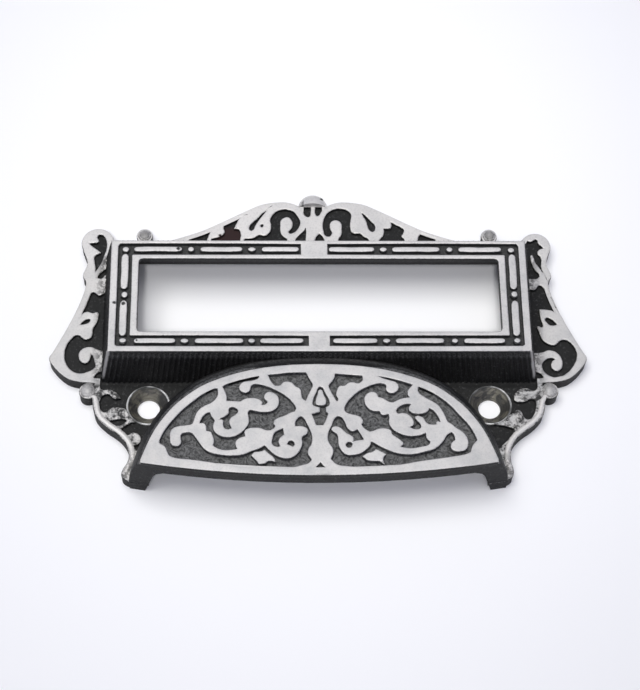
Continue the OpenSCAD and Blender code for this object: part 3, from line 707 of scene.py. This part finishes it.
# A bar with rounded ends and slightly wavering sides, along X or along Y
def barOutline(start, end, across, width, upright=False):
    half = width / 2
    mid = (start + end) / 2
    wave = 0.05 * math.sin(start * 2.3)
    points = [(start, across), (start + half * 0.45, across + half * 0.72),
              (start + half * 2.2, across + half), (mid, across + half + wave),
              (end - half * 1.8, across + half), (end - half * 0.5, across + half * 0.82),
              (end, across), (end - half * 0.6, across - half * 0.75),
              (end - half * 2.2, across - half), (mid, across - half + wave),
              (start + half * 1.7, across - half), (start + half * 0.4, across - half * 0.8)]
    return [(q[1], q[0]) for q in points] if upright else points


def beadOutline(x, y, halfX, halfY):
    turns = [math.radians(60 * k) for k in range(6)]
    return [(x + halfX * math.cos(t), y + halfY * math.sin(t)) for t in turns]


def boxOutline(left, right, low, top):
    return [(left, low, 1), (right, low, 1), (right, top, 1), (left, top, 1)]


# The window's rim, with its corners a little filled in by the casting
def windowOutline():
    side, low, top = moulding["window"], moulding["windowLow"], moulding["windowTop"]
    fill = moulding["cornerFill"]
    return [(-side, low + fill, 1), (-side + fill * 0.3, low + fill * 0.3), (-side + fill, low, 1),
            (side - fill, low, 1), (side - fill * 0.3, low + fill * 0.3), (side, low + fill, 1),
            (side, top - fill, 1), (side - fill * 0.3, top - fill * 0.3), (side - fill, top, 1),
            (-side + fill, top, 1), (-side + fill * 0.3, top - fill * 0.3), (-side, top - fill, 1)]


def makeMoulding():
    m = moulding
    side = cardFrame["side"]
    outlines = [boxOutline(-side, side, cardFrame["low"], cardFrame["top"]), windowOutline()]
    # The channel stops at a plain block in the middle, whose ends differ above and below
    for way, blockTop, blockLow in ((-1, 3.4, 2.1), (1, 1.6, 1.8)):
        channel = [(blockTop, 29.5, 1), (20, 29.6), (37.6, 29.55, 1), (37.95, 29, 1),
                   (37.9, 18.4), (37.95, 7.9, 1), (37.6, 7.6, 1), (20, 7.55), (blockLow, 7.6, 1),
                   (blockLow, 9.75, 1), (20, 9.8), (35.1, 9.8, 1), (35.25, 10, 1), (35.2, 18.4),
                   (35.25, 26.9, 1), (35.1, 27.1, 1), (20, 27.1), (blockTop, 27.15, 1)]
        outlines.append([(way * q[0],) + q[1:] for q in channel])
    for start, end in topBars:
        outlines.append(barOutline(start, end, m["topRow"], m["barWidth"]))
    for start, end in lowBars:
        outlines.append(barOutline(start, end, m["lowRow"], m["barWidth"]))
    for low, top in sideBars:
        for way in (-1, 1):
            outlines.append(barOutline(low, top, way * m["sideRow"], m["sideBarWidth"], True))
    for bead in beads:
        outlines.append(beadOutline(*bead))
    return carving("frame_moulding", None, outlines, m)


makeMoulding()
print("mouldings made")


# Reeding: half-round ribs that stand on the frame's sloping walls
reeding = {"pitch": 0.95, "radius": 0.27, "endRadius": 0.18, "foot": 2.3, "head": 11.15,
           "margin": 0.4}


def addRib(bm, foot, head, radius):
    run = head - foot
    turn = run.to_track_quat("Z", "Y").to_matrix().to_4x4()
    bmesh.ops.create_cone(bm, cap_ends=True, segments=8, radius1=radius * mm,
                          radius2=radius * mm, depth=run.length,
                          matrix=Matrix.Translation((foot + head) / 2) @ turn)


def makeReeding():
    bm = bmesh.new()
    spread = math.tan(math.radians(cardFrame["draft"]))
    halfX = cardFrame["side"]
    midY = (cardFrame["top"] + cardFrame["low"]) / 2
    halfY = (cardFrame["top"] - cardFrame["low"]) / 2
    for axis, way in (("x", 1), ("x", -1), ("y", 1), ("y", -1)):
        half = halfX if axis == "y" else halfY
        radius = reeding["radius"] if axis == "y" else reeding["endRadius"]
        count = int((half - reeding["margin"]) / reeding["pitch"])
        for i in range(-count, count + 1):
            ends = []
            for z in (reeding["foot"], reeding["head"]):
                out = (cardFrame["face"] - z) * spread
                along = i * reeding["pitch"] * (half + out) / half
                if axis == "y":
                    ends.append(Vector((along, midY + way * (halfY + out), z)) * mm)
                else:
                    ends.append(Vector((way * (halfX + out), midY + along, z)) * mm)
            addRib(bm, ends[0], ends[1], radius)
    return closeUp(bm, "frame_reeding", castIron)


makeReeding()
print("reeding made")


# Turned burr that stands round each countersink; its bright colour is partly a painted highlight
burr = {"radius": 3.88, "wire": 0.14, "level": 2.3}


def makeBurrs():
    bm = bmesh.new()
    for side in (-1, 1):
        centre = Vector((side * screwSpacing / 2, 0, burr["level"])) * mm
        start = centre + Vector((burr["radius"] * mm, 0, 0))
        ring = bmesh.ops.create_circle(bm, segments=10, radius=burr["wire"] * mm,
                                       matrix=Matrix.Translation(start)
                                       @ Matrix.Rotation(math.pi / 2, 4, "X"))
        wire = ring["verts"]
        edges = list(dict.fromkeys(e for v in wire for e in v.link_edges))
        bmesh.ops.spin(bm, geom=wire + edges, cent=centre, axis=(0, 0, 1),
                       angle=2 * math.pi, steps=96, use_merge=True)
    return closeUp(bm, "countersink_burrs", castIron)


makeBurrs()
print("countersink burrs made")


# Camera: millimetres and degrees, with the lens for a frame whose longer side is 690 pixels
camera = {"elevation": 62.0, "yaw": -3.47, "roll": 3.07, "distance": 392.0,
          "target": (0.32, 14.0, 0.0), "lens": 36 * 2049 / 690}


def makeCamera():
    up = math.radians(camera["elevation"])
    turn = math.radians(camera["yaw"])
    lean = math.radians(camera["roll"])
    back = Vector((math.sin(turn) * math.cos(up), -math.cos(turn) * math.cos(up),
                   math.sin(up)))
    right = Vector((math.cos(turn), math.sin(turn), 0))
    above = back.cross(right)
    tiltRight = math.cos(lean) * right + math.sin(lean) * above
    tiltAbove = -math.sin(lean) * right + math.cos(lean) * above
    eye = (Vector(camera["target"]) + back * camera["distance"]) * mm
    data = bpy.data.cameras.new("camera")
    data.lens = camera["lens"]
    data.sensor_width = 36
    data.clip_start = 0.01
    view = bpy.data.objects.new("camera", data)
    bpy.context.scene.collection.objects.link(view)
    place = Matrix((tiltRight, tiltAbove, back)).transposed().to_4x4()
    place.translation = eye
    view.matrix_world = place
    bpy.context.scene.camera = view


makeCamera()


# Floor of white paper
paper = {"shade": (0.93, 0.925, 0.94, 1), "light": (0.95, 0.945, 0.955, 1), "half": 1.5,
         "glow": 0.06, "glowColour": (0.96, 0.96, 0.95, 1)}


def makeFloor():
    material, tree, shader = newMaterial("white_paper")
    coords = node(tree, "TexCoord").outputs["Object"]
    tint = mixed(tree, noise(tree, coords, 6, 2), paper["shade"], paper["light"])
    tree.links.new(tint, shader.inputs["Base Color"])
    rays = node(tree, "LightPath").outputs
    seen = calc(tree, "MAXIMUM", rays["Is Camera Ray"],
                calc(tree, "MAXIMUM", rays["Is Glossy Ray"], rays["Is Transmission Ray"]))
    glow = node(tree, "Emission", {"Color": paper["glowColour"], "Strength": 1.0})
    blend = node(tree, "MixShader", {0: calc(tree, "MULTIPLY", seen, paper["glow"])})
    tree.links.new(shader.outputs[0], blend.inputs[1])
    tree.links.new(glow.outputs[0], blend.inputs[2])
    tree.links.new(blend.outputs[0], tree.nodes["Material Output"].inputs[0])
    shader.inputs["Roughness"].default_value = 0.9
    shader.inputs["Specular IOR Level"].default_value = 0.1
    bm = bmesh.new()
    bmesh.ops.create_grid(bm, x_segments=1, y_segments=1, size=paper["half"])
    mesh = bpy.data.meshes.new("floor")
    bm.to_mesh(mesh)
    bm.free()
    mesh.materials.append(material)
    linkPiece("floor", mesh)


makeFloor()


# Lamps, in metres, watts and degrees: a big soft box, and a narrow one on the window and crest
studio = {"world": 0.26, "worldColour": (0.60, 0.64, 1.0, 1),
          "keyPower": 8.3, "keySize": 0.70, "keyColour": (1.0, 1.0, 0.955),
          "keyPlace": (-0.18, 0.05, 0.98), "keyAim": (0.0, 0.0, 0.0),
          "snootPower": 38.0, "snootAngle": 7.2, "snootSize": 0.08,
          "snootPlace": (-0.05, -0.46, 0.89), "snootAim": (0.0, 0.044, 0.0)}


def addLamp(name, kind, power, place, aim):
    lamp = bpy.data.lights.new(name, kind)
    lamp.energy = power
    holder = bpy.data.objects.new(name, lamp)
    bpy.context.scene.collection.objects.link(holder)
    place = Vector(place)
    turn = (place - Vector(aim)).to_track_quat("Z", "Y").to_matrix().to_4x4()
    holder.matrix_world = Matrix.Translation(place) @ turn
    return lamp


def makeLights():
    world = bpy.data.worlds.new("studio")
    world.use_nodes = True
    sky = world.node_tree.nodes["Background"]
    sky.inputs[0].default_value = studio["worldColour"]
    sky.inputs[1].default_value = studio["world"]
    bpy.context.scene.world = world
    box = addLamp("softbox", "AREA", studio["keyPower"], studio["keyPlace"], studio["keyAim"])
    box.size = studio["keySize"]
    box.color = studio["keyColour"]
    snoot = addLamp("snoot", "SPOT", studio["snootPower"], studio["snootPlace"],
                    studio["snootAim"])
    snoot.spot_size = math.radians(studio["snootAngle"])
    snoot.spot_blend = 1.0
    snoot.shadow_soft_size = studio["snootSize"]


makeLights()
print("camera, floor and lamps set")
bpy.context.scene.view_settings.view_transform = "Standard"
